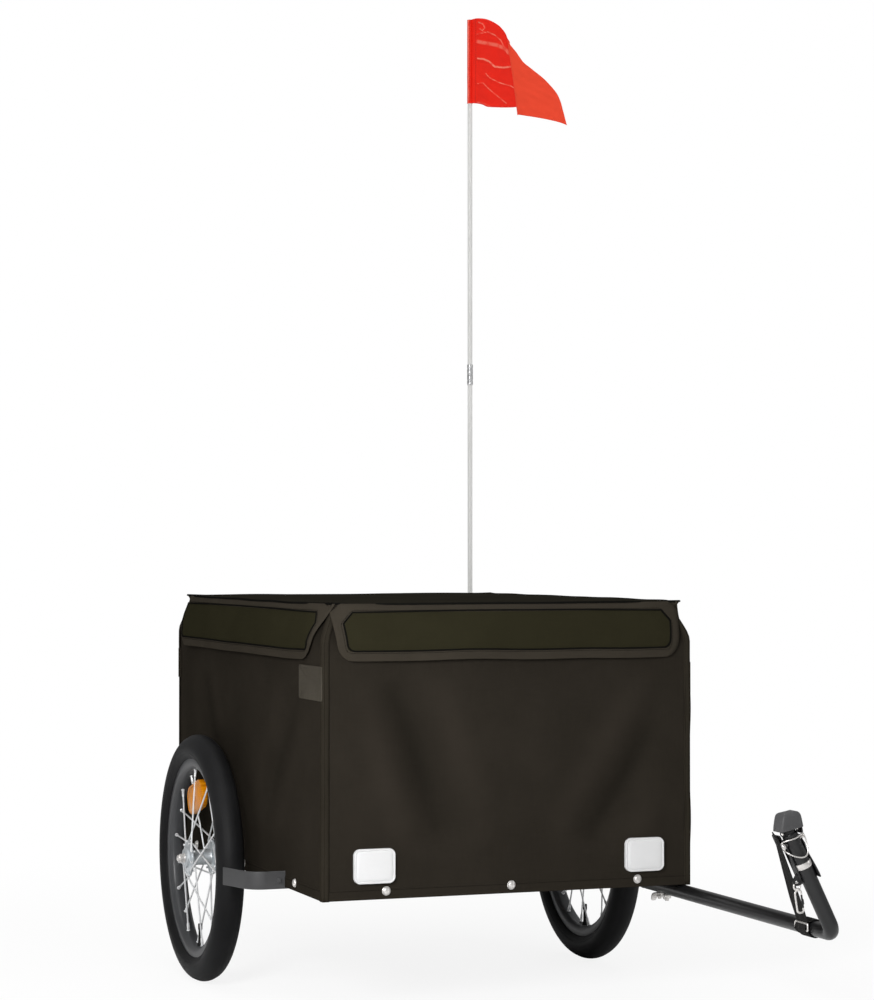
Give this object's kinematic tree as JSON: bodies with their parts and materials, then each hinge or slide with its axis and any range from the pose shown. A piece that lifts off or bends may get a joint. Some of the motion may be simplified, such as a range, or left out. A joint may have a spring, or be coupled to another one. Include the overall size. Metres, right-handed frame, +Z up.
{
  "type": "cargo bicycle trailer",
  "caption": "Two-wheel cargo trailer for a bicycle: a cloth tub with a lift-off cover, side drawbar with hitch, and a safety flag.",
  "frame": {"origin": "on the ground, under the middle of the whole trailer's bounding box", "axes": "+X forward along the drawbar, +Y to the trailer's left, +Z up"},
  "size_m": [1.3232, 0.7628, 1.678],
  "materials": {
    "wall_cloth": "heavy woven cloth, matt",
    "cover_cloth": "woven cloth with lighter binding, matt",
    "frame_steel": "satin black powder coat",
    "floor_board": "film-faced plywood",
    "tyre_rubber": "smooth black tyre",
    "tube_rubber": "matt black",
    "rim_black": "black anodised look",
    "spoke_steel": "bright zinc",
    "hub_steel": "zinc plated",
    "bolt_steel": "bright zinc",
    "bar_paint": "gloss black paint",
    "guard_plastic": "dark grey",
    "hitch_grey": "satin grey",
    "joint_rubber": "black elastomer",
    "lens_clear": "clear prismatic lens",
    "lens_red": "red prismatic lens",
    "lens_amber": "amber prismatic lens",
    "webbing": "black woven webbing",
    "pole_white": "white fibreglass",
    "flag_red": "glossy red vinyl"
  },
  "bodies": {
    "tub": {"base_rail_left": "frame_steel", "base_rail_right": "frame_steel", "base_rail_front": "frame_steel", "base_rail_rear": "frame_steel", "axle_beam": "frame_steel", "floor_panel": "floor_board", "hoop_front": "frame_steel", "hoop_rear": "frame_steel", "top_rail_left": "frame_steel", "top_rail_right": "frame_steel", "fabric_front": "wall_cloth", "fabric_rear": "wall_cloth", "fabric_left": "wall_cloth", "fabric_right": "wall_cloth", "front_reflector_left": "lens_clear", "front_reflector_right": "lens_clear", "rear_reflector_left": "lens_red", "rear_reflector_right": "lens_red", "wheel_guard_left": "guard_plastic", "axle_left": "hub_steel", "axle_nut_left": "hub_steel", "wheel_guard_right": "guard_plastic", "axle_right": "hub_steel", "axle_nut_right": "hub_steel", "drawbar_bracket": "frame_steel", "pivot_bolt": "bolt_steel", "flag_socket": "guard_plastic"},
    "cover": {"cover": "cover_cloth"},
    "drawbar": {"drawbar": "bar_paint", "guide_bolt": "bolt_steel", "coupler_channel": "bar_paint", "hitch_pin": "bolt_steel", "safety_strap": "webbing", "strap_loop": "bolt_steel"},
    "flex_joint": {"elastomer_joint": "joint_rubber"},
    "axle_bracket": {"axle_bracket": "hitch_grey"},
    "pin_bail": {"pin_bail": "bolt_steel"},
    "snap_hook": {"snap_hook": "bolt_steel"},
    "snap_gate": {"snap_gate": "guard_plastic"},
    "flag_lower": {"flag_pole_lower": "pole_white"},
    "flag_upper": {"flag_pole_upper": "pole_white", "flag": "flag_red"},
    "wheel_left": {"tyre_left": "tyre_rubber", "inner_tube_left": "tube_rubber", "rim_left": "rim_black", "spokes_outer_left": "spoke_steel", "spokes_inner_left": "spoke_steel", "hub_left": "hub_steel", "bearing_outer_left": "hub_steel", "bearing_inner_left": "hub_steel", "spoke_reflector_left": "lens_amber"},
    "wheel_right": {"tyre_right": "tyre_rubber", "inner_tube_right": "tube_rubber", "rim_right": "rim_black", "spokes_outer_right": "spoke_steel", "spokes_inner_right": "spoke_steel", "hub_right": "hub_steel", "bearing_outer_right": "hub_steel", "bearing_inner_right": "hub_steel", "spoke_reflector_right": "lens_amber"}
  },
  "joints": [
    {"name": "wheel_left_spin", "type": "hinge", "parent": "tub", "child": "wheel_left", "pos_m": [-0.3283, 0.3425, 0.2], "axis": [0, 1, 0], "continuous": true},
    {"name": "wheel_right_spin", "type": "hinge", "parent": "tub", "child": "wheel_right", "pos_m": [-0.3283, -0.3425, 0.2], "axis": [0, 1, 0], "continuous": true},
    {"name": "cover_lift", "type": "slide", "parent": "tub", "child": "cover", "axis": [0, 0, 1], "range_m": [0, 0.3]},
    {"name": "drawbar_swing", "type": "hinge", "parent": "tub", "child": "drawbar", "pos_m": [0.0847, 0.29, 0.1755], "axis": [0, 0, -1], "range_deg": [0, 60]},
    {"name": "bracket_tilt", "type": "hinge", "parent": "drawbar", "child": "flex_joint", "pos_m": [0.6437, 0.21986, 0.31931], "axis": [1, 0, 0], "range_deg": [-6, 16], "stiffness_Nm_per_rad": 5},
    {"name": "bracket_pitch", "type": "hinge", "parent": "flex_joint", "child": "axle_bracket", "pos_m": [0.6437, 0.21986, 0.31931], "axis": [0, 0.8988, 0.4384], "range_deg": [-12, 12], "stiffness_Nm_per_rad": 5},
    {"name": "pin_bail_swing", "type": "hinge", "parent": "drawbar", "child": "pin_bail", "pos_m": [0.6437, 0.217, 0.28787], "axis": [0, 0.4384, -0.8988], "range_deg": [0, 100]},
    {"name": "snap_hook_swing", "type": "hinge", "parent": "drawbar", "child": "snap_hook", "pos_m": [0.6437, 0.23275, 0.24771], "axis": [1, 0, 0], "range_deg": [-60, 20]},
    {"name": "snap_gate_open", "type": "hinge", "parent": "snap_hook", "child": "snap_gate", "pos_m": [0.6437, 0.23745, 0.20906], "axis": [1, 0, 0], "range_deg": [0, 15], "stiffness_Nm_per_rad": 0.004, "springref_deg": -11.46},
    {"name": "flag_pole_lift", "type": "slide", "parent": "tub", "child": "flag_lower", "axis": [0, 0, 1], "range_m": [0, 0.075]},
    {"name": "flag_upper_lift", "type": "slide", "parent": "flag_lower", "child": "flag_upper", "axis": [0, 0, 1], "range_m": [0, 0.02]}
  ]
}
